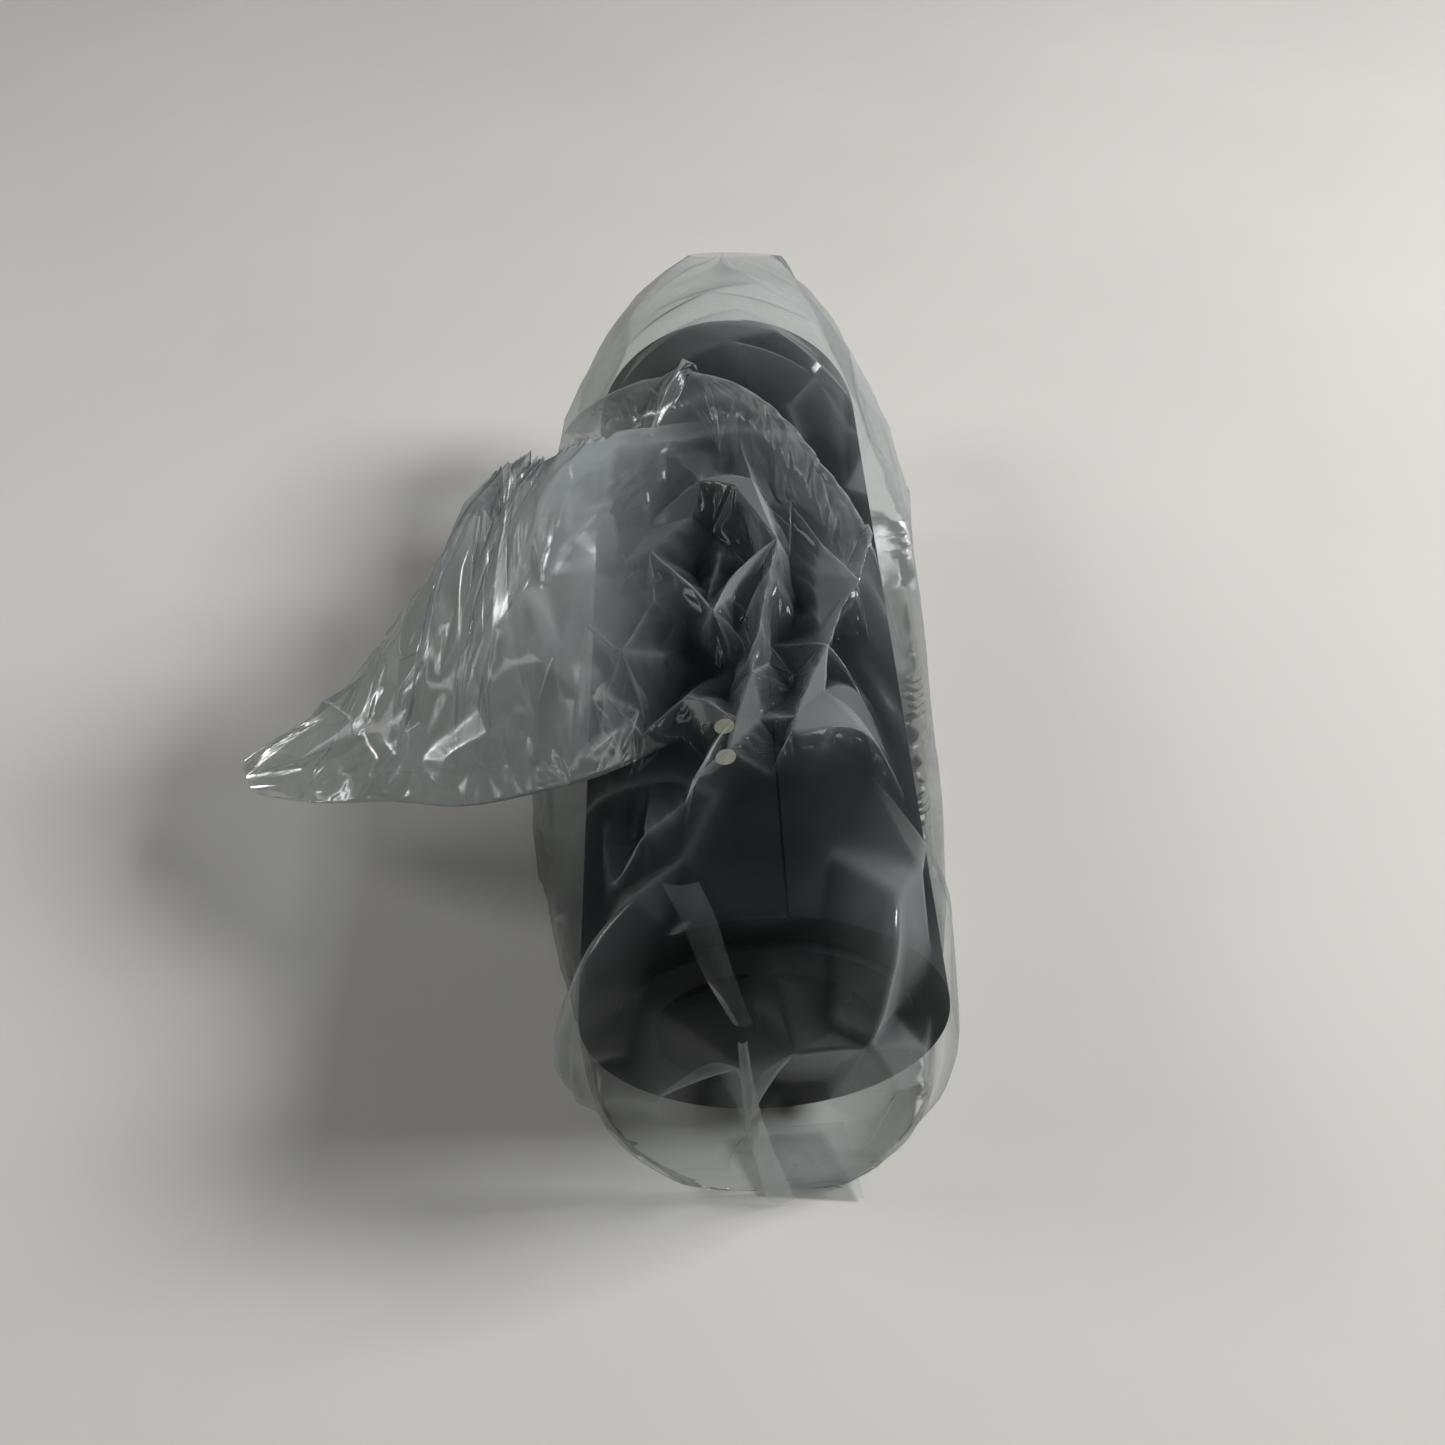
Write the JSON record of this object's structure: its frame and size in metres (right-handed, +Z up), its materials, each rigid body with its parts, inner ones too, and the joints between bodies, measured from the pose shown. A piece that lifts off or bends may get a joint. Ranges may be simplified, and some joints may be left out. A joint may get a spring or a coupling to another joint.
{
  "type": "backdrop paper roll",
  "caption": "Short roll of black backdrop paper on a plugged card core, lying in a loose clear polythene bag whose mouth is folded back and flops to one side.",
  "frame": {"origin": "on the rest face, under the middle of the roll", "axes": "+Z up, +Y along the roll towards the bag's closed end, +X across it, away from the flap"},
  "size_m": [0.1326, 0.2102, 0.0621],
  "materials": {
    "paper_black": "matte",
    "core_board": "matte",
    "plug_black": "satin",
    "glue_cream": "satin",
    "film_clear": "gloss"
  },
  "bodies": {
    "bag": {"bag_tube": "film_clear", "bag_far_end": "film_clear", "bag_near_end": "film_clear", "bag_fold_over": "film_clear"},
    "roll": {"core_tube": "core_board", "paper_winding": "paper_black", "paper_outer_lap": "paper_black", "tail_seals": "glue_cream"},
    "front_plug": {"end_plug_front": "plug_black"},
    "rear_plug": {"end_plug_rear": "plug_black"},
    "flap": {"bag_mouth_flap": "film_clear"}
  },
  "joints": [
    {"name": "roll_spin", "type": "hinge", "parent": "bag", "child": "roll", "pos_m": [0, 0, 0.03055], "axis": [0, 1, 0], "continuous": true},
    {"name": "front_plug_pull", "type": "slide", "parent": "roll", "child": "front_plug", "axis": [0, -1, 0], "range_m": [0, 0.0045]},
    {"name": "rear_plug_pull", "type": "slide", "parent": "roll", "child": "rear_plug", "axis": [0, 1, 0], "range_m": [0, 0.0045]},
    {"name": "flap_fold", "type": "hinge", "parent": "bag", "child": "flap", "pos_m": [-0.031, 0, 0.05], "axis": [0, 1, 0], "range_deg": [-14, 140]}
  ]
}
